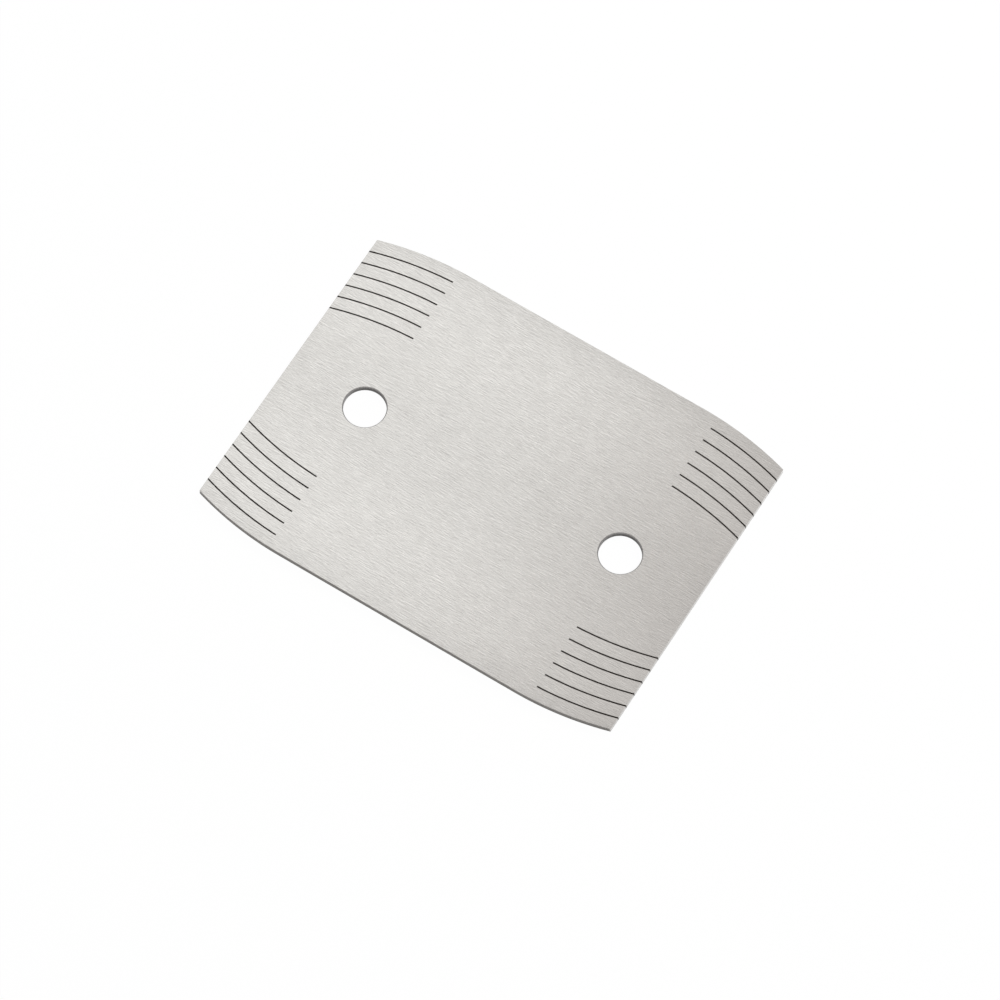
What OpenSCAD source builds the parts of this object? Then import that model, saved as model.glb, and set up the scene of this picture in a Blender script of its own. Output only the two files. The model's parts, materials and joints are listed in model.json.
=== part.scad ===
// Card scraper: a flat steel card whose two long scraping edges curve in toward the ends.
// Two round holes lie on its centre line, and six dark guide lines are engraved at each corner.
// The guide lines repeat the curve of the edge beside them.
// Millimetres. The card lies on z = 0 with its length along X, and the origin is under its centre.

/* [Card] */
// Length, from one short side to the other
card_length = 101.6; // [85:0.1:130]
// Width across the straight middle of the long edges
card_width = 76.2; // [60:0.1:100]
// Thickness of the steel
card_thickness = 1.5875; // [0.8:0.0125:3.2]
// Radius of the curve at each end of a long edge
edge_radius = 76.2; // [60:0.1:120]
// Distance that a long edge has come in where it meets the short side
corner_drop = 3.175; // [2.5:0.025:5]

/* [Holes] */
// Diameter of the two through holes
hole_diameter = 9.3; // [5:0.025:14]
// Distance between the holes' centres, along the card's length
hole_spacing = 63.5; // [40:0.1:70]
// Size of the broken edge round a hole's rim, on both faces
hole_edge_break = 0.2; // [0.02:0.02:0.3]

/* [Guide lines] */
// Number of guide lines at each corner
line_count = 6; // [1:1:6]
// Distance from one guide line to the next
line_pitch = 3.175; // [2:0.025:4]
// Distance from the long edge to its first guide line
first_line_inset = 3.05; // [1:0.05:4]
// Distance that the guide lines reach in from the short sides
line_reach = 18.55; // [8:0.05:19]
// Distance that the whole marking sits off the card's centre, toward the right
marking_shift = 0.6; // [-1:0.05:1]
// Width of an engraved groove
groove_width = 0.34; // [0.15:0.01:0.6]
// Depth of an engraved groove
groove_depth = 0.06; // [0.05:0.01:0.2]
// Thickness of the dark oxide on a groove's floor
oxide_thickness = 0.04; // [0.02:0.01:0.05]
// Gap between the oxide and each wall of its groove
oxide_clearance = 0.01; // [0.005:0.005:0.03]

/* [Hidden] */
$fn = 360;
// Margin by which a cutting shape runs past the face that it cuts
cut_margin = 1;
// Length of the curve at each end of a long edge, along X
curve_run = sqrt(pow(edge_radius, 2) - pow(edge_radius - corner_drop, 2));
// Centre of a curve: the long edge runs into it without a break
curve_x = card_length / 2 - curve_run;
curve_y = card_width / 2 - edge_radius;
// Height of the grooves' floors
groove_floor = card_thickness - groove_depth;

// Sides of the card: left and front are -1, right and back are 1
left = -1;
right = 1;
front = -1;
back = 1;

// Takes a shape made at the back right corner to another corner
module at_corner(side_x, side_y) {
    mirror([side_x == left ? 1 : 0, 0, 0])
        mirror([0, side_y == front ? 1 : 0, 0])
            children();
}

// What is cut away outside the curve at the back right corner of the blank
module corner_waste() {
    difference() {
        translate([curve_x, card_width / 2 - corner_drop - cut_margin])
            square([curve_run + cut_margin, corner_drop + 2 * cut_margin]);
        translate([curve_x, curve_y])
            circle(r = edge_radius);
    }
}

// Outline of the card: an oblong blank with its four corners cut back
module card_outline() {
    difference() {
        square([card_length, card_width], center = true);
        for (side_x = [left, right], side_y = [front, back])
            at_corner(side_x, side_y)
                corner_waste();
    }
}

// One guide line, seen from above: the long edge's own curve, moved in
module guide_line(side_x, side_y, index, width, end_gap, overrun) {
    inset = first_line_inset + index * line_pitch;
    shift = side_x * marking_shift;
    inner_end = card_length / 2 - line_reach + shift + end_gap;
    outer_end = card_length / 2 + overrun;
    at_corner(side_x, side_y)
        intersection() {
            translate([curve_x + shift, curve_y - inset])
                difference() {
                    circle(r = edge_radius + width / 2);
                    circle(r = edge_radius - width / 2);
                }
            translate([inner_end, 0])
                square([outer_end - inner_end, card_width / 2]);
        }
}

// Grooves of one corner, cut down from the upper face and out through the short side
module grooves(side_x, side_y) {
    translate([0, 0, groove_floor])
        linear_extrude(height = groove_depth + cut_margin)
            for (index = [0 : line_count - 1])
                guide_line(side_x, side_y, index, groove_width, 0, cut_margin);
}

// Dark oxide of one corner, on the floors of its grooves and flush with the short side
module guide_lines(side_x, side_y) {
    oxide_width = groove_width - 2 * oxide_clearance;
    color([0.13, 0.11, 0.09])
        translate([0, 0, groove_floor])
            linear_extrude(height = oxide_thickness)
                for (index = [0 : line_count - 1])
                    guide_line(side_x, side_y, index, oxide_width, oxide_clearance, 0);
}

// One through hole with both of its rims broken
module hole() {
    hole_radius = hole_diameter / 2;
    translate([0, 0, -cut_margin])
        cylinder(h = card_thickness + 2 * cut_margin, r = hole_radius);
    cylinder(h = hole_edge_break, r1 = hole_radius + hole_edge_break, r2 = hole_radius);
    translate([0, 0, card_thickness - hole_edge_break])
        cylinder(h = hole_edge_break, r1 = hole_radius, r2 = hole_radius + hole_edge_break);
}

module scraper_card() {
    color([0.80, 0.78, 0.76])
        difference() {
            linear_extrude(height = card_thickness)
                card_outline();
            for (side = [left, right])
                translate([side * hole_spacing / 2, 0, 0])
                    hole();
            for (side_x = [left, right], side_y = [front, back])
                grooves(side_x, side_y);
        }
}

module guide_lines_back_left() {
    guide_lines(left, back);
}

module guide_lines_back_right() {
    guide_lines(right, back);
}

module guide_lines_front_left() {
    guide_lines(left, front);
}

module guide_lines_front_right() {
    guide_lines(right, front);
}

scraper_card();
guide_lines_back_left();
guide_lines_back_right();
guide_lines_front_left();
guide_lines_front_right();
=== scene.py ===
"""A steel card scraper: its looks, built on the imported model.

The card is brushed along its length on both faces, ground along its edges and engraved at its corners.
Lengths are in metres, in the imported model's frame: X runs along the card, Y across it, and Z up out of
the engraved face.
"""

import json
import math
from typing import NamedTuple

import bmesh
import bpy
from bpy.props import FloatProperty, FloatVectorProperty, IntProperty, PointerProperty
from bpy.types import NodeSocket, Operator, Panel, PropertyGroup
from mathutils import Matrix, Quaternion, Vector


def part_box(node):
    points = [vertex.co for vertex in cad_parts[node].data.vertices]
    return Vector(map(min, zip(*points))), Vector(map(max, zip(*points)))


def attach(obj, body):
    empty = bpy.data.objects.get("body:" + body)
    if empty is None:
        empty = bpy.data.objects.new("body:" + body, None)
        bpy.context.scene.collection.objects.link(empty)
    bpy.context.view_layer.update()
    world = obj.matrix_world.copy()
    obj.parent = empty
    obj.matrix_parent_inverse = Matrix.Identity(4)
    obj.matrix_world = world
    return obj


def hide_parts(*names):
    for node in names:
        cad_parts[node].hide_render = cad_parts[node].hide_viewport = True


bl_info = {
    "name": "Card Scraper",
    "version": (1, 0, 0),
    "blender": (4, 5, 0),
    "location": "View3D > Sidebar > Scraper",
    "description": "Builds a steel card scraper, the dark lines engraved on it and a plain studio",
    "category": "Add Mesh",
}

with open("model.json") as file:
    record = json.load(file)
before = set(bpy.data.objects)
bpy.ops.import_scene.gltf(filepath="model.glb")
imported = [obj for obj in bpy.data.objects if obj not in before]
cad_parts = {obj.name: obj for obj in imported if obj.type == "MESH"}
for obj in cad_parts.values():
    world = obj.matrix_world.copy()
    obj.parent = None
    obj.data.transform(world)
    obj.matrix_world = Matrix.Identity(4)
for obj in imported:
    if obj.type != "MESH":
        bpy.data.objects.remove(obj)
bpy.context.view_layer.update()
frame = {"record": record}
CARD_LOW, CARD_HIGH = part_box("scraper_card")
RIGHT_HOLE = next(mount for mount in frame["record"]["mounts"] if mount["name"] == "right_hole")

# Sides of the card: left and front are -1, right and back are 1
SIDES_X = {"left": -1, "right": 1}
SIDES_Y = {"back": 1, "front": -1}
# Material slots of the card's mesh
FACE, EDGE, BORE, GROOVE = range(4)

# Segments in the curve at each end of a long edge, in half of a hole's rim and along a guide line
CURVE_STEPS = 48
HOLE_STEPS = 64
LINE_STEPS = 24
# Segments in the broken edges of the holes and of the card's outline
HOLE_BREAK_STEPS = 1
RIM_BREAK_STEPS = 2
# Vertices closer than this are one
WELD = 1e-7
# Distance that the shapes which cut the grooves run past the card
CUT_MARGIN = 0.001
# Reach of a hole's broken edge past the hole, in sizes of that edge and with a little to spare
BREAK_REACH = 1.05
# Angle past which an edge is square, and past which it is shaded crisp
SQUARE_ANGLE = math.radians(60)
CRISP_ANGLE = math.radians(10)
# Part of its normal that points straight up or down on a flat face of the card, at least
FLAT = 0.99
# Part of its normal that lies along an axis, at least, where a face is toward that axis
TOWARD = 0.7
# Repeats of the grain's map per metre
GRAIN_REPEATS = 10

BLACK = (0.0, 0.0, 0.0, 1.0)
WHITE = (1.0, 1.0, 1.0, 1.0)
FULL_RANGE = (0.0, 1.0)
# Distance over which rows of scratches are moved along against each other, in scratches
ROW_SCATTER = 1000.0
# How far the step between two rows of scratches shows, and the tone where there is none
STEP_GAIN = 0.7
EVEN_TONE = 0.5
# Tones that take up the full range: of scratches on the faces and on the walls, and of clouds in the oxide
FACE_TONES = (0.4, 0.6)
WALL_TONES = (0.25, 0.75)
OXIDE_TONES = (0.3, 0.7)
# Clouds per metre on the faces and in the oxide, and the clouds' part in the tone of the faces
FACE_CLOUDS = 400.0
OXIDE_CLOUDS = 6000.0
CLOUD_PART = 0.3
# Strength and width of the painted shade along the short sides, as parts of the painted shade along the
# long edges
SHORT_SIDE_SHADE = 0.4
SHORT_SIDE_WIDTH = 0.5
# Marks on the short sides: sideways lean per height, and where they fade, in halves of a groove's width
MARK_LEAN = 0.18
MARK_FADE = (0.7, 1.4)
# Marks on the short sides: how dark they still are at their foot, and how much rougher than the steel
MARK_FOOT = 0.75
MARK_ROUGHNESS = 0.6
# Roughness of the oxide, from dark to brown, and how much lighter the burnt walls of the grooves are
OXIDE_ROUGHNESS = (0.7, 0.9)
GROOVE_LIGHTER = 0.5

# Half of the floor's side, the floor's distance under the card, and how near to the floor it is clear
FLOOR_HALF = 3.0
FLOOR_GAP = 0.00001
FLOOR_CLEAR = 0.0001
# Width of the camera's sensor in millimetres
SENSOR_WIDTH = 36.0


class Lamp(NamedTuple):
    """A soft rectangular lamp that faces its aim and is as bright all over as its radiance says."""

    name: str
    place_at: tuple
    aim: tuple
    size: tuple
    radiance: float
    colour: tuple
    mirrored: bool


# Lamps, and whether the steel mirrors them
LAMPS = (
    Lamp(
        name="overhead_lamp",
        place_at=(-0.224, 0.2, 0.5),
        aim=(-0.224, 0.2, 0.0),
        size=(0.3, 0.42),
        radiance=0.57,
        colour=(0.95, 1.01, 1.03),
        mirrored=True,
    ),
    Lamp(
        name="back_lamp",
        place_at=(0.21, 0.77, 0.6),
        aim=(0.0, 0.0, 0.0),
        size=(0.5, 0.5),
        radiance=15.3,
        colour=(1.0, 1.0, 1.0),
        mirrored=False,
    ),
)


# Sizes and colours that a user may change


def length_property(name, description, default):
    """A length in metres, shown to the micrometre."""
    return FloatProperty(name=name, description=description, default=default, precision=6, unit="LENGTH")


def share_property(name, description, default):
    """A number from 0 to 1."""
    return FloatProperty(
        name=name,
        description=description,
        default=default,
        min=0.0,
        max=1.0,
        subtype="FACTOR",
    )


def colour_property(name, description, default):
    """A colour with channels from 0 to 1."""
    return FloatVectorProperty(
        name=name,
        description=description,
        default=default,
        min=0.0,
        max=1.0,
        subtype="COLOR",
    )


def angle_property(name, description, degrees):
    """An angle whose default is given in degrees."""
    return FloatProperty(name=name, description=description, default=math.radians(degrees), subtype="ANGLE")


def level_property(name, description, default):
    """A strength of light."""
    return FloatProperty(name=name, description=description, default=default, min=0.0, max=2.0)


class CardSizes(PropertyGroup):
    """Sizes of the card itself."""

    length: length_property(
        "Length",
        "Distance from one short side to the other",
        CARD_HIGH.x - CARD_LOW.x,
    )
    width: length_property(
        "Width",
        "Distance between the straight middles of the long edges",
        CARD_HIGH.y - CARD_LOW.y,
    )
    thickness: length_property(
        "Thickness",
        "Thickness of the steel",
        CARD_HIGH.z - CARD_LOW.z,
    )
    edge_radius: length_property(
        "Edge Radius",
        "Radius of the curve at each end of a long edge",
        0.0762,
    )
    corner_drop: length_property(
        "Corner Drop",
        "Distance that a long edge has come in where it meets the short side",
        0.003175,
    )
    rim_break: length_property(
        "Rim Break",
        "Size of the broken edge round the card's outline",
        0.00005,
    )
    hole_radius: length_property(
        "Hole Radius",
        "Radius of the two through holes",
        RIGHT_HOLE["dims"]["r_mm"] / 1000,
    )
    hole_distance: length_property(
        "Hole Distance",
        "Distance of each hole from the card's centre",
        RIGHT_HOLE["pos_m"][0],
    )
    hole_edge_break: length_property(
        "Hole Edge Break",
        "Size of the broken edge round a hole's rim",
        0.0002,
    )


class LineSizes(PropertyGroup):
    """Sizes of the engraved guide lines."""

    count: IntProperty(
        name="Lines",
        description="Number of guide lines at each corner",
        default=6,
        min=1,
    )
    pitch: length_property(
        "Pitch",
        "Distance from one guide line to the next",
        0.003175,
    )
    first_inset: length_property(
        "First Line Inset",
        "Distance from the long edge to its first guide line",
        0.00305,
    )
    reach: length_property(
        "Reach",
        "Distance that the guide lines reach in from the short sides",
        0.01855,
    )
    shift: length_property(
        "Marking Shift",
        "Distance that the whole marking sits off the card's centre, toward the right",
        0.0006,
    )
    groove_width: length_property(
        "Groove Width",
        "Width of an engraved groove",
        0.00034,
    )
    groove_depth: length_property(
        "Groove Depth",
        "Depth of an engraved groove",
        0.00006,
    )
    oxide_thickness: length_property(
        "Oxide Thickness",
        "Thickness of the dark oxide on a groove's floor",
        0.00004,
    )
    oxide_clearance: length_property(
        "Oxide Clearance",
        "Gap between the oxide and each wall of its groove",
        0.00001,
    )


class SteelFinish(PropertyGroup):
    """Colours and grain of the steel, and the painted shade and shadow on it."""

    face_colour: colour_property(
        "Face Colour",
        "Colour of the brushed faces",
        (0.675, 0.66, 0.634),
    )
    edge_colour: colour_property(
        "Edge Colour",
        "Colour of the ground edges",
        (0.65, 0.64, 0.62),
    )
    bore_colour: colour_property(
        "Bore Colour",
        "Colour of the duller steel inside the holes",
        (0.38, 0.375, 0.37),
    )
    face_roughness: share_property(
        "Face Roughness",
        "Roughness of the brushed faces",
        0.3,
    )
    edge_roughness: share_property(
        "Edge Roughness",
        "Roughness of the ground edges",
        0.22,
    )
    bore_roughness: share_property(
        "Bore Roughness",
        "Roughness of the steel inside the holes",
        0.45,
    )
    streak_length: length_property(
        "Streak Length",
        "Length of a fine scratch in the brushed faces",
        0.0045,
    )
    streak_width: length_property(
        "Streak Width",
        "Width of a fine scratch in the brushed faces",
        0.00012,
    )
    streak_contrast: share_property(
        "Streak Contrast",
        "How far the scratches are lighter and darker than the face's colour",
        0.24,
    )
    # Painted shade: the faces darker toward their long edges, and the width over which it fades
    painted_border_shade: share_property(
        "Border Shade",
        "How far the faces are darker along the long edges",
        0.07,
    )
    border_width: length_property(
        "Border Width",
        "Distance over which the darker border fades",
        0.0045,
    )
    # Painted shade: the faces darker along their centre line, coming round again across the card
    painted_band_shade: share_property(
        "Band Shade",
        "How far the faces are darker along their centre line than beside it",
        0.05,
    )
    band_spacing: length_property(
        "Band Spacing",
        "Distance across the card over which the darker band comes round again",
        0.056,
    )
    # Painted shadow along the lower rim of the ground edges, where they stand on the floor, and the height
    # over which it fades
    painted_rim_shadow: share_property(
        "Rim Shade",
        "How far the ground edges are darker along their lower rim",
        0.35,
    )
    rim_shadow_width: length_property(
        "Rim Width",
        "Height over which the darker rim fades",
        0.0005,
    )


class OxideFinish(PropertyGroup):
    """Colours of the engraving."""

    dark_colour: colour_property(
        "Dark Colour",
        "Darker colour of the oxide in the grooves",
        (0.006, 0.005, 0.004),
    )
    brown_colour: colour_property(
        "Brown Colour",
        "Browner, lighter colour of the oxide in the grooves",
        (0.018, 0.013, 0.01),
    )
    overrun: share_property(
        "Overrun",
        "How dark the marks are that the lines leave on the short sides",
        0.74,
    )


class StudioSetup(PropertyGroup):
    """Camera, floor and light of the studio."""

    camera_aim: FloatVectorProperty(
        name="Camera Aim",
        description="Point in the middle of the picture",
        default=(0.00373, -0.00272, 0.00079),
        precision=5,
        subtype="TRANSLATION",
    )
    camera_distance: length_property(
        "Camera Distance",
        "Distance from the camera to its aim",
        1.24745,
    )
    camera_azimuth: angle_property(
        "Camera Azimuth",
        "Turn of the camera round the card, to the right of its front edge",
        30.168,
    )
    camera_elevation: angle_property(
        "Camera Elevation",
        "Height of the camera above the horizon",
        65.711,
    )
    camera_roll: angle_property(
        "Camera Roll",
        "Tilt of the camera about its own line of sight",
        1.916,
    )
    camera_lens: FloatProperty(
        name="Camera Lens",
        description="Focal length of the camera",
        default=213.04,
        unit="CAMERA",
    )
    floor_colour: colour_property(
        "Floor Colour",
        "Colour of the floor",
        (0.9, 0.9, 0.9),
    )
    floor_white: share_property(
        "Floor White",
        "Share of plain white in the floor as the camera sees it, which leaves a faint shadow",
        0.985,
    )
    room_colour: colour_property(
        "Room Colour",
        "Colour of the room's light",
        (1.0, 0.966, 0.955),
    )
    room_level: level_property(
        "Room Level",
        "Strength of the room's light on the card and the floor",
        0.28,
    )
    room_reflection: level_property(
        "Room Reflection",
        "Strength of the room where the steel reflects it",
        0.71,
    )


# Node helpers


def place(tree, kind, **settings):
    """Adds a node to a tree with the given properties."""
    node = tree.nodes.new(kind)
    for name, value in settings.items():
        setattr(node, name, value)
    return node


def feed(tree, socket, value):
    """Links an output to a socket, or sets a plain value on it."""
    if isinstance(value, NodeSocket):
        tree.links.new(value, socket)
    else:
        socket.default_value = value


def calculate(tree, operation, *values):
    """Adds a Math node and returns its output."""
    node = place(tree, "ShaderNodeMath", operation=operation)
    for socket, value in zip(node.inputs, values):
        feed(tree, socket, value)
    return node.outputs["Value"]


def rescale(tree, value, start, end, smooth=False):
    """Takes a value from one range to another, each given as a pair, and keeps it inside."""
    kind = "SMOOTHSTEP" if smooth else "LINEAR"
    node = place(tree, "ShaderNodeMapRange", interpolation_type=kind)
    feed(tree, node.inputs["Value"], value)
    node.inputs["From Min"].default_value, node.inputs["From Max"].default_value = start
    node.inputs["To Min"].default_value, node.inputs["To Max"].default_value = end
    return node.outputs["Result"]


def mix_colours(tree, factor, first, second):
    """Mixes two colours and returns the result."""
    node = place(tree, "ShaderNodeMix", data_type="RGBA")
    feed(tree, node.inputs[0], factor)
    feed(tree, node.inputs[6], first)
    feed(tree, node.inputs[7], second)
    return node.outputs[2]


def mix_shaders(tree, factor, first, second):
    """Mixes two shaders and returns the result."""
    node = place(tree, "ShaderNodeMixShader")
    feed(tree, node.inputs[0], factor)
    feed(tree, node.inputs[1], first)
    feed(tree, node.inputs[2], second)
    return node.outputs["Shader"]


def noise(tree, place_at, detail, roughness):
    """Adds a Noise Texture, along a line for a number or in space for a vector, and returns its value."""
    along_line = place_at.type == "VALUE"
    node = place(tree, "ShaderNodeTexNoise", noise_dimensions="1D" if along_line else "3D")
    feed(tree, node.inputs["W" if along_line else "Vector"], place_at)
    node.inputs["Scale"].default_value = 1.0
    node.inputs["Detail"].default_value = detail
    node.inputs["Roughness"].default_value = roughness
    return node.outputs[0]


def use_group(tree, group, **inputs):
    """Places a node group in a tree, feeds its inputs by name and returns its tone."""
    node = place(tree, "ShaderNodeGroup", node_tree=group)
    for name, value in inputs.items():
        feed(tree, node.inputs[name.replace("_", " ")], value)
    return node.outputs["Tone"]


def new_group(name, **inputs):
    """Makes a shader node group that returns a tone, and returns it with its input and output nodes."""
    group = bpy.data.node_groups.new(name, "ShaderNodeTree")
    for socket, kind in inputs.items():
        group.interface.new_socket(socket.replace("_", " "), in_out="INPUT", socket_type=kind)
    group.interface.new_socket("Tone", in_out="OUTPUT", socket_type="NodeSocketFloat")
    return group, place(group, "NodeGroupInput"), place(group, "NodeGroupOutput")


# Effects that several materials share


def brushed_streaks():
    """Rows of fine scratches that abrasive leaves, each row as light as it stands out from the next one.

    Along and Across count scratches, and Tone is about 0.5.
    """
    name = "brushed_streaks"
    if name in bpy.data.node_groups:
        return bpy.data.node_groups[name]
    group, given, result = new_group(name, Along="NodeSocketFloat", Across="NodeSocketFloat")
    row = calculate(group, "FLOOR", given.outputs["Across"])
    heights = []
    for beside in (row, calculate(group, "ADD", row, 1.0)):
        scatter = place(group, "ShaderNodeTexWhiteNoise", noise_dimensions="1D")
        feed(group, scatter.inputs["W"], beside)
        moved = scatter.outputs["Value"]
        start = calculate(group, "MULTIPLY_ADD", moved, ROW_SCATTER, given.outputs["Along"])
        heights.append(noise(group, start, detail=3.0, roughness=0.75))
    step = calculate(group, "SUBTRACT", *heights)
    feed(group, result.inputs["Tone"], calculate(group, "MULTIPLY_ADD", step, STEP_GAIN, EVEN_TONE))
    return group


def soft_clouds():
    """Slow changes of tone over a surface. Tone is about 0.5."""
    name = "soft_clouds"
    if name in bpy.data.node_groups:
        return bpy.data.node_groups[name]
    group, given, result = new_group(name, Vector="NodeSocketVector", Clouds_per_Metre="NodeSocketFloat")
    node = place(group, "ShaderNodeVectorMath", operation="SCALE")
    feed(group, node.inputs["Vector"], given.outputs["Vector"])
    feed(group, node.inputs["Scale"], given.outputs["Clouds per Metre"])
    tone = noise(group, node.outputs["Vector"], detail=3.0, roughness=0.55)
    feed(group, result.inputs["Tone"], tone)
    return group


# Materials


def new_material(name):
    """Makes a material with only a Principled shader in it, and returns it with its tree and the shader."""
    material = bpy.data.materials.new(name)
    material.use_nodes = True
    tree = material.node_tree
    tree.nodes.clear()
    shader = place(tree, "ShaderNodeBsdfPrincipled")
    output = place(tree, "ShaderNodeOutputMaterial")
    feed(tree, output.inputs["Surface"], shader.outputs["BSDF"])
    return material, tree, shader


def object_place(tree):
    """The place of a point on its piece, in metres."""
    return place(tree, "ShaderNodeTexCoord").outputs["Object"]


def object_axes(tree):
    """The place of a point on its piece as three numbers: along the card, across it and up."""
    split = place(tree, "ShaderNodeSeparateXYZ")
    feed(tree, split.inputs["Vector"], object_place(tree))
    return split.outputs["X"], split.outputs["Y"], split.outputs["Z"]


def shaded(colour, amount):
    """A colour made lighter or darker by a share of itself, with full opacity."""
    return [channel * (1 + amount) for channel in colour] + [1.0]


def opaque(colour):
    """A colour with full opacity."""
    return shaded(colour, 0.0)


def tinted(tree, tone, colour, contrast):
    """A colour that gets lighter with the tone, by the contrast to each side."""
    return mix_colours(tree, tone, shaded(colour, -contrast), shaded(colour, contrast))


def polished(tree, tone, roughness, spread):
    """A roughness that falls with the tone, by the spread to each side."""
    return rescale(tree, tone, FULL_RANGE, (roughness + spread, roughness - spread))


def add_bump(tree, shader, height, depth):
    """Gives a shader a bump of that depth, in metres."""
    bump = place(tree, "ShaderNodeBump")
    bump.inputs["Distance"].default_value = depth
    feed(tree, bump.inputs["Height"], height)
    feed(tree, shader.inputs["Normal"], bump.outputs["Normal"])


def fading(tree, distance, width):
    """A value that fades from 1 as the distance grows, to about a third over the width."""
    return calculate(tree, "EXPONENT", calculate(tree, "DIVIDE", distance, -width))


def painted_border_shade(tree, card, steel):
    """Painted shade: how far a face is darker toward the card's outline, from 0 in its middle."""
    along, across, _ = object_axes(tree)
    outward = calculate(tree, "ABSOLUTE", along)
    past = calculate(tree, "SUBTRACT", outward, card.length / 2 - curve_run(card))
    past = calculate(tree, "MAXIMUM", past, 0.0)
    rise = calculate(tree, "SUBTRACT", card.edge_radius**2, calculate(tree, "POWER", past, 2.0))
    edge = calculate(tree, "ADD", calculate(tree, "SQRT", rise), card.width / 2 - card.edge_radius)
    from_long_edge = calculate(tree, "SUBTRACT", edge, calculate(tree, "ABSOLUTE", across))
    from_short_side = calculate(tree, "SUBTRACT", card.length / 2, outward)
    long_shade = fading(tree, from_long_edge, steel.border_width)
    short_shade = fading(tree, from_short_side, steel.border_width * SHORT_SIDE_WIDTH)
    both = calculate(tree, "MULTIPLY_ADD", short_shade, SHORT_SIDE_SHADE, long_shade)
    return calculate(tree, "MULTIPLY", both, steel.painted_border_shade)


def painted_band_shade(tree, steel):
    """Painted shade: how far a face is darker along its centre line than beside it."""
    _, across, _ = object_axes(tree)
    wave = calculate(tree, "COSINE", calculate(tree, "MULTIPLY", across, math.tau / steel.band_spacing))
    return rescale(tree, wave, (-1.0, 1.0), (0.0, steel.painted_band_shade))


def brushed_face(card, steel):
    """Satin steel of the card's faces, with fine scratches along its length and painted shade toward its
    outline and along its centre line.
    """
    material, tree, shader = new_material("brushed_face")
    along, across, _ = object_axes(tree)
    streaks = use_group(
        tree,
        brushed_streaks(),
        Along=calculate(tree, "DIVIDE", along, steel.streak_length),
        Across=calculate(tree, "DIVIDE", across, steel.streak_width),
    )
    clouds = use_group(tree, soft_clouds(), Vector=object_place(tree), Clouds_per_Metre=FACE_CLOUDS)
    cloud_part = calculate(tree, "MULTIPLY", clouds, CLOUD_PART)
    even = rescale(tree, streaks, FACE_TONES, FULL_RANGE)
    tone = calculate(tree, "MULTIPLY_ADD", even, 1 - CLOUD_PART, cloud_part)
    brushed = tinted(tree, tone, steel.face_colour, steel.streak_contrast)
    # Painted shade: the faces darker toward the outline and along the centre line
    painted_shade = calculate(tree, "ADD", painted_border_shade(tree, card, steel), painted_band_shade(tree, steel))
    feed(tree, shader.inputs["Base Color"], mix_colours(tree, painted_shade, brushed, BLACK))
    feed(tree, shader.inputs["Roughness"], polished(tree, tone, steel.face_roughness, spread=0.05))
    shader.inputs["Metallic"].default_value = 1.0
    shader.inputs["Anisotropic"].default_value = 0.7
    shader.inputs["Anisotropic Rotation"].default_value = 0.25
    tangent = place(tree, "ShaderNodeTangent", direction_type="UV_MAP", uv_map="grain")
    feed(tree, shader.inputs["Tangent"], tangent.outputs["Tangent"])
    add_bump(tree, shader, streaks, depth=0.000002)
    return material


def line_end(card, lines, side_x):
    """Distance from the card's long centre line to where the first guide line meets a short side."""
    run = curve_run(card) - side_x * lines.shift
    return card.width / 2 - card.edge_radius - lines.first_inset + math.sqrt(card.edge_radius**2 - run**2)


def overrun_marks(tree, card, lines):
    """Mask of the faint marks that run down the short sides below the ends of the guide lines."""
    along, across, height = object_axes(tree)
    left, right = line_end(card, lines, -1), line_end(card, lines, 1)
    first = calculate(tree, "MULTIPLY_ADD", along, (right - left) / card.length, (left + right) / 2)
    leaning = calculate(tree, "MULTIPLY_ADD", height, MARK_LEAN, across)
    leaning = calculate(tree, "SUBTRACT", leaning, MARK_LEAN * card.thickness)
    inward = calculate(tree, "SUBTRACT", first, calculate(tree, "ABSOLUTE", leaning))
    position = calculate(tree, "DIVIDE", inward, lines.pitch)
    nearest = calculate(tree, "ROUND", position)
    nearest = calculate(tree, "MINIMUM", calculate(tree, "MAXIMUM", nearest, 0.0), lines.count - 1.0)
    away = calculate(tree, "ABSOLUTE", calculate(tree, "SUBTRACT", position, nearest))
    half = lines.groove_width / lines.pitch / 2
    mark = rescale(tree, away, [half * edge for edge in MARK_FADE], (1.0, 0.0), smooth=True)
    down = rescale(tree, height, (0.0, card.thickness), (MARK_FOOT, 1.0))
    outward = calculate(tree, "ABSOLUTE", along)
    on_side = calculate(tree, "GREATER_THAN", outward, card.length / 2 - 2 * card.rim_break)
    return calculate(tree, "MULTIPLY", calculate(tree, "MULTIPLY", mark, down), on_side)


def ground_edge(card, lines, steel, oxide):
    """Ground steel of the card's edges, with fine scratches, the marks of the guide lines' ends and a
    painted shadow along the lower rim.
    """
    material, tree, shader = new_material("ground_edge")
    along, across, height = object_axes(tree)
    streaks = use_group(
        tree,
        brushed_streaks(),
        Along=calculate(tree, "DIVIDE", calculate(tree, "ADD", along, across), steel.streak_length),
        Across=calculate(tree, "DIVIDE", height, steel.streak_width),
    )
    tone = rescale(tree, streaks, WALL_TONES, FULL_RANGE)
    colour = tinted(tree, tone, steel.edge_colour, contrast=0.15)
    # Painted shadow along the lower rim, where the wall stands on the floor
    painted_shade = rescale(tree, height, (0.0, steel.rim_shadow_width), (steel.painted_rim_shadow, 0.0), smooth=True)
    colour = mix_colours(tree, painted_shade, colour, BLACK)
    marks = calculate(tree, "MULTIPLY", overrun_marks(tree, card, lines), oxide.overrun)
    feed(tree, shader.inputs["Base Color"], mix_colours(tree, marks, colour, opaque(oxide.brown_colour)))
    ground = polished(tree, tone, steel.edge_roughness, spread=0.08)
    feed(tree, shader.inputs["Roughness"], calculate(tree, "MULTIPLY_ADD", marks, MARK_ROUGHNESS, ground))
    feed(tree, shader.inputs["Metallic"], calculate(tree, "SUBTRACT", 1.0, marks))
    shader.inputs["Specular IOR Level"].default_value = 0.0
    add_bump(tree, shader, streaks, depth=0.000002)
    return material


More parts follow.
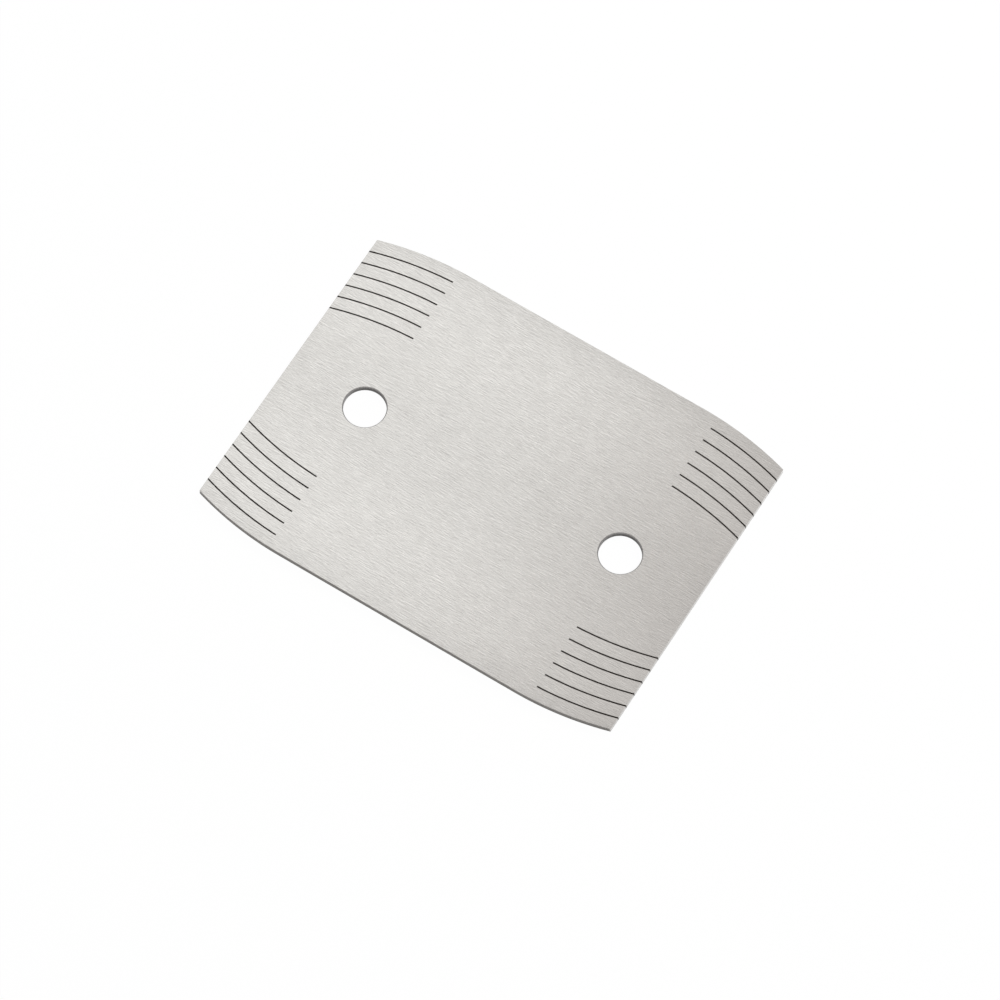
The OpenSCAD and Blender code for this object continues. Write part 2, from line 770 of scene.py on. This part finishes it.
def bored_wall(card, steel):
    """Duller steel inside the holes, with scratches through the card."""
    material, tree, shader = new_material("bored_wall")
    along, across, height = object_axes(tree)
    from_middle = calculate(tree, "SUBTRACT", calculate(tree, "ABSOLUTE", along), card.hole_distance)
    turn = calculate(tree, "ARCTAN2", across, from_middle)
    streaks = use_group(
        tree,
        brushed_streaks(),
        Along=calculate(tree, "DIVIDE", height, steel.streak_length),
        Across=calculate(tree, "MULTIPLY", turn, card.hole_radius / steel.streak_width),
    )
    tone = rescale(tree, streaks, WALL_TONES, FULL_RANGE)
    feed(tree, shader.inputs["Base Color"], tinted(tree, tone, steel.bore_colour, contrast=0.3))
    feed(tree, shader.inputs["Roughness"], polished(tree, tone, steel.bore_roughness, spread=0.1))
    shader.inputs["Metallic"].default_value = 1.0
    add_bump(tree, shader, streaks, depth=0.000004)
    return material


def burnt_surface(name, oxide, lighter):
    """Matt burnt surface of the engraving, mottled from near black to brown."""
    material, tree, shader = new_material(name)
    clouds = use_group(tree, soft_clouds(), Vector=object_place(tree), Clouds_per_Metre=OXIDE_CLOUDS)
    tone = rescale(tree, clouds, OXIDE_TONES, FULL_RANGE)
    dark = shaded(oxide.dark_colour, lighter)
    brown = shaded(oxide.brown_colour, lighter)
    feed(tree, shader.inputs["Base Color"], mix_colours(tree, tone, dark, brown))
    feed(tree, shader.inputs["Roughness"], rescale(tree, tone, FULL_RANGE, OXIDE_ROUGHNESS))
    shader.inputs["Specular IOR Level"].default_value = 0.25
    add_bump(tree, shader, clouds, depth=0.00002)
    return material


# Shapes


def curve_run(card):
    """Length along X of the curve at each end of a long edge."""
    return math.sqrt(card.edge_radius**2 - (card.edge_radius - card.corner_drop) ** 2)


def arc(centre, radius, start_x, end_x, steps):
    """Points along the back of a circle, from one X to another."""
    start = math.asin((start_x - centre.x) / radius)
    end = math.asin((end_x - centre.x) / radius)
    turns = [start + (end - start) * step / steps for step in range(steps + 1)]
    return [centre + radius * Vector((math.sin(turn), math.cos(turn))) for turn in turns]


def half_outline(card):
    """Outline of the card's back half, with the back halves of the holes cut out of its straight side."""
    centre = Vector((card.length / 2 - curve_run(card), card.width / 2 - card.edge_radius))
    curve = arc(centre, card.edge_radius, centre.x, card.length / 2, CURVE_STEPS)
    outline = [Vector((card.length / 2, 0.0))]
    outline += reversed(curve)
    outline += [Vector((-point.x, point.y)) for point in curve]
    outline.append(Vector((-card.length / 2, 0.0)))
    radius = card.hole_radius
    for side in SIDES_X.values():
        middle = Vector((side * card.hole_distance, 0.0))
        outline += arc(middle, radius, middle.x - radius, middle.x + radius, HOLE_STEPS)
    return outline


def in_hole(card, point):
    """Whether a point is inside a hole or on its broken edge."""
    reach = card.hole_radius + card.hole_edge_break * BREAK_REACH
    middles = [side * card.hole_distance for side in SIDES_X.values()]
    return any(math.hypot(point.x - middle, point.y) < reach for middle in middles)


def break_edges(solid, size, segments, wanted):
    """Bevels those square edges of a solid whose middles are wanted."""
    square = [edge for edge in solid.edges if edge.calc_face_angle(0.0) > SQUARE_ANGLE]
    chosen = [edge for edge in square if wanted((edge.verts[0].co + edge.verts[1].co) / 2)]
    bmesh.ops.bevel(
        solid,
        geom=chosen,
        offset=size,
        offset_type="OFFSET",
        segments=segments,
        profile=0.5,
        affect="EDGES",
    )


def card_blank(card):
    """The card as a solid with its holes and broken edges, before its grooves are cut."""
    solid = bmesh.new()
    for side in SIDES_Y.values():
        solid.faces.new([solid.verts.new((point.x, side * point.y, 0.0)) for point in half_outline(card)])
    bmesh.ops.remove_doubles(solid, verts=solid.verts[:], dist=WELD)
    raised = bmesh.ops.extrude_face_region(solid, geom=solid.faces[:])["geom"]
    upper = [part for part in raised if isinstance(part, bmesh.types.BMVert)]
    bmesh.ops.translate(solid, verts=upper, vec=(0.0, 0.0, card.thickness))
    bmesh.ops.recalc_face_normals(solid, faces=solid.faces[:])
    break_edges(solid, card.hole_edge_break, HOLE_BREAK_STEPS, lambda point: in_hole(card, point))
    break_edges(solid, card.rim_break, RIM_BREAK_STEPS, lambda point: not in_hole(card, point))
    for face in solid.faces:
        if abs(face.normal.z) > FLAT:
            face.material_index = FACE
        elif in_hole(card, face.calc_center_median()):
            face.material_index = BORE
        else:
            face.material_index = EDGE
    return solid


def guide_line_outline(card, lines, corner, index, width, end_gap, overrun):
    """Outline of one guide line seen from above: the long edge's own curve, moved in."""
    side_x, side_y = corner
    shift = side_x * lines.shift
    inset = lines.first_inset + index * lines.pitch
    centre = Vector((card.length / 2 - curve_run(card) + shift, card.width / 2 - card.edge_radius - inset))
    inner_end = card.length / 2 - lines.reach + shift + end_gap
    outer_end = card.length / 2 + overrun
    outer = arc(centre, card.edge_radius + width / 2, inner_end, outer_end, LINE_STEPS)
    inner = arc(centre, card.edge_radius - width / 2, inner_end, outer_end, LINE_STEPS)
    return [Vector((side_x * point.x, side_y * point.y)) for point in outer + inner[::-1]]


def add_bar(solid, outline, low, high):
    """Adds a closed bar with that outline, made of quads along its length, between two heights."""
    count = len(outline)
    floor = [solid.verts.new((point.x, point.y, low)) for point in outline]
    top = [solid.verts.new((point.x, point.y, high)) for point in outline]
    for step in range(count // 2 - 1):
        across = count - 1 - step
        solid.faces.new((floor[step], floor[step + 1], floor[across - 1], floor[across]))
        solid.faces.new((top[step], top[step + 1], top[across - 1], top[across]))
    for step in range(count):
        after = (step + 1) % count
        solid.faces.new((floor[step], floor[after], top[after], top[step]))


def corner_bars(card, lines, corner, width, end_gap, overrun, height):
    """The guide lines of one corner as bars that stand on the floors of their grooves."""
    solid = bmesh.new()
    low = card.thickness - lines.groove_depth
    for index in range(lines.count):
        outline = guide_line_outline(card, lines, corner, index, width, end_gap, overrun)
        add_bar(solid, outline, low, low + height)
    bmesh.ops.recalc_face_normals(solid, faces=solid.faces[:])
    return solid


def new_object(name, solid):
    """Makes an object in the scene out of a solid."""
    if any(not edge.is_manifold for edge in solid.edges):
        raise RuntimeError(f"The mesh of {name} isn't closed")
    mesh = bpy.data.meshes.new(name)
    solid.to_mesh(mesh)
    solid.free()
    made = bpy.data.objects.new(name, mesh)
    bpy.context.scene.collection.objects.link(made)
    return made


def cut_out(body, cutter):
    """Cuts one object's shape out of another for good, and removes the cutter."""
    cut = body.modifiers.new("cut", "BOOLEAN")
    cut.operation = "DIFFERENCE"
    cut.solver = "EXACT"
    cut.object = cutter
    depsgraph = bpy.context.evaluated_depsgraph_get()
    whole = body.data
    body.data = bpy.data.meshes.new_from_object(body.evaluated_get(depsgraph))
    body.data.name = whole.name
    body.modifiers.clear()
    bpy.data.meshes.remove(whole)
    bpy.data.meshes.remove(cutter.data)


def lay_grain(mesh):
    """Adds the map that the brushed grain follows: across the map is along the card."""
    grain = mesh.uv_layers.new(name="grain")
    for polygon in mesh.polygons:
        across, up = (0, 1)
        if abs(polygon.normal.z) < TOWARD:
            across, up = (1, 2) if abs(polygon.normal.x) > TOWARD else (0, 2)
        for loop in polygon.loop_indices:
            point = mesh.vertices[mesh.loops[loop].vertex_index].co
            grain.data[loop].uv = (point[across] * GRAIN_REPEATS, point[up] * GRAIN_REPEATS)


def smooth_curves(made):
    """Shades an object's curved walls smooth and keeps its edges crisp."""
    made.data.shade_smooth()
    made.data.set_sharp_from_angle(angle=CRISP_ANGLE)


def put_in_frame(made, node):
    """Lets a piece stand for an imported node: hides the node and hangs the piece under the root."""
    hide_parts(node)
    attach(made, "root")


# Studio


def add_lamp(lamp):
    """Adds a lamp that the camera doesn't see."""
    light = bpy.data.lights.new(lamp.name, "AREA")
    light.shape = "RECTANGLE"
    light.size, light.size_y = lamp.size
    light.energy = lamp.radiance * math.pi * light.size * light.size_y
    light.color = lamp.colour
    made = bpy.data.objects.new(lamp.name, light)
    made.location = lamp.place_at
    made.rotation_mode = "QUATERNION"
    made.rotation_quaternion = (Vector(lamp.aim) - Vector(lamp.place_at)).to_track_quat("-Z", "Y")
    made.visible_camera = False
    made.visible_glossy = lamp.mirrored
    bpy.context.scene.collection.objects.link(made)


def add_floor(studio):
    """Adds a plain pale floor, clear from below and where it touches the card, to show the underside."""
    sheet = bmesh.new()
    bmesh.ops.create_grid(sheet, x_segments=1, y_segments=1, size=FLOOR_HALF)
    mesh = bpy.data.meshes.new("studio_floor")
    sheet.to_mesh(mesh)
    sheet.free()
    floor = bpy.data.objects.new("studio_floor", mesh)
    floor.location.z = -FLOOR_GAP
    bpy.context.scene.collection.objects.link(floor)
    material, tree, shader = new_material("studio_floor")
    shader.inputs["Base Color"].default_value = opaque(studio.floor_colour)
    shader.inputs["Roughness"].default_value = 0.9
    shader.inputs["Specular IOR Level"].default_value = 0.0
    white = place(tree, "ShaderNodeEmission").outputs["Emission"]
    clear = place(tree, "ShaderNodeBsdfTransparent").outputs["BSDF"]
    path = place(tree, "ShaderNodeLightPath")
    share = calculate(tree, "MULTIPLY", path.outputs["Is Camera Ray"], studio.floor_white)
    below = place(tree, "ShaderNodeNewGeometry").outputs["Backfacing"]
    touching = calculate(tree, "LESS_THAN", path.outputs["Ray Length"], FLOOR_CLEAR)
    seen = mix_shaders(tree, share, shader.outputs["BSDF"], white)
    seen = mix_shaders(tree, calculate(tree, "MAXIMUM", below, touching), seen, clear)
    feed(tree, tree.get_output_node("ALL").inputs["Surface"], seen)
    mesh.materials.append(material)


def add_room(studio):
    """Sets the world: white to the camera, pale in the steel, and a plain soft light on everything."""
    world = bpy.data.worlds.new("studio_room")
    world.use_nodes = True
    tree = world.node_tree
    tree.nodes.clear()
    path = place(tree, "ShaderNodeLightPath")
    camera = path.outputs["Is Camera Ray"]
    gain = studio.room_reflection - studio.room_level
    level = calculate(tree, "MULTIPLY_ADD", path.outputs["Is Glossy Ray"], gain, studio.room_level)
    level = calculate(tree, "MAXIMUM", level, camera)
    background = place(tree, "ShaderNodeBackground")
    feed(tree, background.inputs["Color"], mix_colours(tree, camera, opaque(studio.room_colour), WHITE))
    feed(tree, background.inputs["Strength"], level)
    output = place(tree, "ShaderNodeOutputWorld")
    feed(tree, output.inputs["Surface"], background.outputs["Background"])
    bpy.context.scene.world = world


def add_camera(studio):
    """Adds the camera and makes it the scene's own."""
    flat = math.cos(studio.camera_elevation)
    toward = Vector(
        (
            math.sin(studio.camera_azimuth) * flat,
            -math.cos(studio.camera_azimuth) * flat,
            math.sin(studio.camera_elevation),
        )
    )
    lens = bpy.data.cameras.new("studio_camera")
    lens.sensor_width = SENSOR_WIDTH
    lens.lens = studio.camera_lens
    camera = bpy.data.objects.new("studio_camera", lens)
    camera.location = Vector(studio.camera_aim) + toward * studio.camera_distance
    camera.rotation_mode = "QUATERNION"
    roll = Quaternion((0.0, 0.0, 1.0), studio.camera_roll)
    camera.rotation_quaternion = (-toward).to_track_quat("-Z", "Y") @ roll
    bpy.context.scene.collection.objects.link(camera)
    bpy.context.scene.camera = camera


# Operators


class SCRAPER_OT_make_card(Operator):
    """Make the steel card with its holes and the grooves of its guide lines"""

    bl_idname = "scraper.make_card"
    bl_label = "Make Card"

    def execute(self, context):
        card = context.scene.card_sizes
        lines = context.scene.line_sizes
        steel = context.scene.steel_finish
        oxide = context.scene.oxide_finish
        made = new_object("steel_card", card_blank(card))
        for material in (
            brushed_face(card, steel),
            ground_edge(card, lines, steel, oxide),
            bored_wall(card, steel),
            burnt_surface("burnt_groove", oxide, GROOVE_LIGHTER),
        ):
            made.data.materials.append(material)
        for side_x in SIDES_X.values():
            for side_y in SIDES_Y.values():
                bars = corner_bars(
                    card,
                    lines,
                    corner=(side_x, side_y),
                    width=lines.groove_width,
                    end_gap=0.0,
                    overrun=CUT_MARGIN,
                    height=CUT_MARGIN,
                )
                for face in bars.faces:
                    face.material_index = GROOVE
                cutter = new_object("groove_cutter", bars)
                for material in made.data.materials:
                    cutter.data.materials.append(material)
                cut_out(made, cutter)
        lay_grain(made.data)
        smooth_curves(made)
        put_in_frame(made, "scraper_card")
        return {"FINISHED"}


class SCRAPER_OT_make_guide_lines(Operator):
    """Make the dark oxide that lies in the grooves of each corner"""

    bl_idname = "scraper.make_guide_lines"
    bl_label = "Make Guide Lines"

    def execute(self, context):
        card = context.scene.card_sizes
        lines = context.scene.line_sizes
        oxide = burnt_surface("line_oxide", context.scene.oxide_finish, lighter=0.0)
        for side_y, sign_y in SIDES_Y.items():
            for side_x, sign_x in SIDES_X.items():
                bars = corner_bars(
                    card,
                    lines,
                    corner=(sign_x, sign_y),
                    width=lines.groove_width - 2 * lines.oxide_clearance,
                    end_gap=lines.oxide_clearance,
                    overrun=0.0,
                    height=lines.oxide_thickness,
                )
                made = new_object(f"oxide_lines_{side_y}_{side_x}", bars)
                made.data.materials.append(oxide)
                smooth_curves(made)
                put_in_frame(made, f"guide_lines_{side_y}_{side_x}")
        return {"FINISHED"}


class SCRAPER_OT_set_stage(Operator):
    """Set up the floor, the light and the camera round the card"""

    bl_idname = "scraper.set_stage"
    bl_label = "Set Stage"

    def execute(self, context):
        studio = context.scene.studio_setup
        context.scene.view_settings.view_transform = "Standard"
        add_floor(studio)
        add_room(studio)
        for lamp in LAMPS:
            add_lamp(lamp)
        add_camera(studio)
        return {"FINISHED"}


class SCRAPER_PT_card(Panel):
    """Lists the steps that build the scraper and the values that they use"""

    bl_idname = "SCRAPER_PT_card"
    bl_label = "Card Scraper"
    bl_space_type = "VIEW_3D"
    bl_region_type = "UI"
    bl_category = "Scraper"

    def draw(self, context):
        for operator, group_names in STEPS:
            self.layout.operator(operator)
            for group_name in group_names:
                group = getattr(context.scene, group_name)
                column = self.layout.column(align=True)
                for name in group.__annotations__:
                    column.prop(group, name)


STEPS = (
    ("scraper.make_card", ("card_sizes", "steel_finish")),
    ("scraper.make_guide_lines", ("line_sizes", "oxide_finish")),
    ("scraper.set_stage", ("studio_setup",)),
)
GROUPS = {
    "card_sizes": CardSizes,
    "line_sizes": LineSizes,
    "steel_finish": SteelFinish,
    "oxide_finish": OxideFinish,
    "studio_setup": StudioSetup,
}
CLASSES = (
    *GROUPS.values(),
    SCRAPER_OT_make_card,
    SCRAPER_OT_make_guide_lines,
    SCRAPER_OT_set_stage,
    SCRAPER_PT_card,
)


def register():
    """Registers the classes and gives each scene its own values."""
    for item in CLASSES:
        bpy.utils.register_class(item)
    for name, group in GROUPS.items():
        setattr(bpy.types.Scene, name, PointerProperty(type=group))


def unregister():
    """Takes the values and the classes away again."""
    for name in GROUPS:
        delattr(bpy.types.Scene, name)
    for item in reversed(CLASSES):
        bpy.utils.unregister_class(item)


def main():
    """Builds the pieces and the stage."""
    register()
    bpy.ops.scraper.make_card()
    bpy.ops.scraper.make_guide_lines()
    bpy.ops.scraper.set_stage()


if __name__ == "__main__":
    main()
